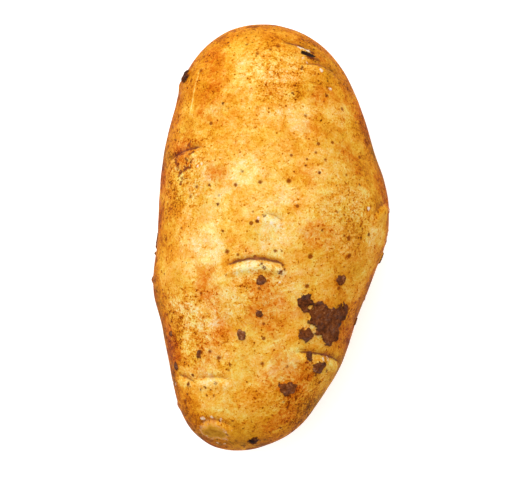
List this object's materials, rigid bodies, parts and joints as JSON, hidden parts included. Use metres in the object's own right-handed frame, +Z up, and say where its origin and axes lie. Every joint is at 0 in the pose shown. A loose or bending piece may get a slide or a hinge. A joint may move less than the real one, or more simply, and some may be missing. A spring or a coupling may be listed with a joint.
{
  "type": "potato",
  "caption": "Long yellow-skinned potato lying on its side, with brows over its eyes and dark crusts of dried soil on its skin.",
  "frame": {"origin": "the middle of the underside of the bounding box, on the surface that the potato lies on", "axes": "+Z up; +Y along the potato's long axis, towards the stem end; +X across it, so that seen from above with +Y up the largest crust is at the lower right"},
  "size_m": [0.0698, 0.125, 0.0579],
  "materials": {
    "potato_skin": "natural skin, half matt, golden yellow with russet flecks and dark crusts"
  },
  "bodies": {
    "root": {"potato": "potato_skin"}
  },
  "joints": []
}
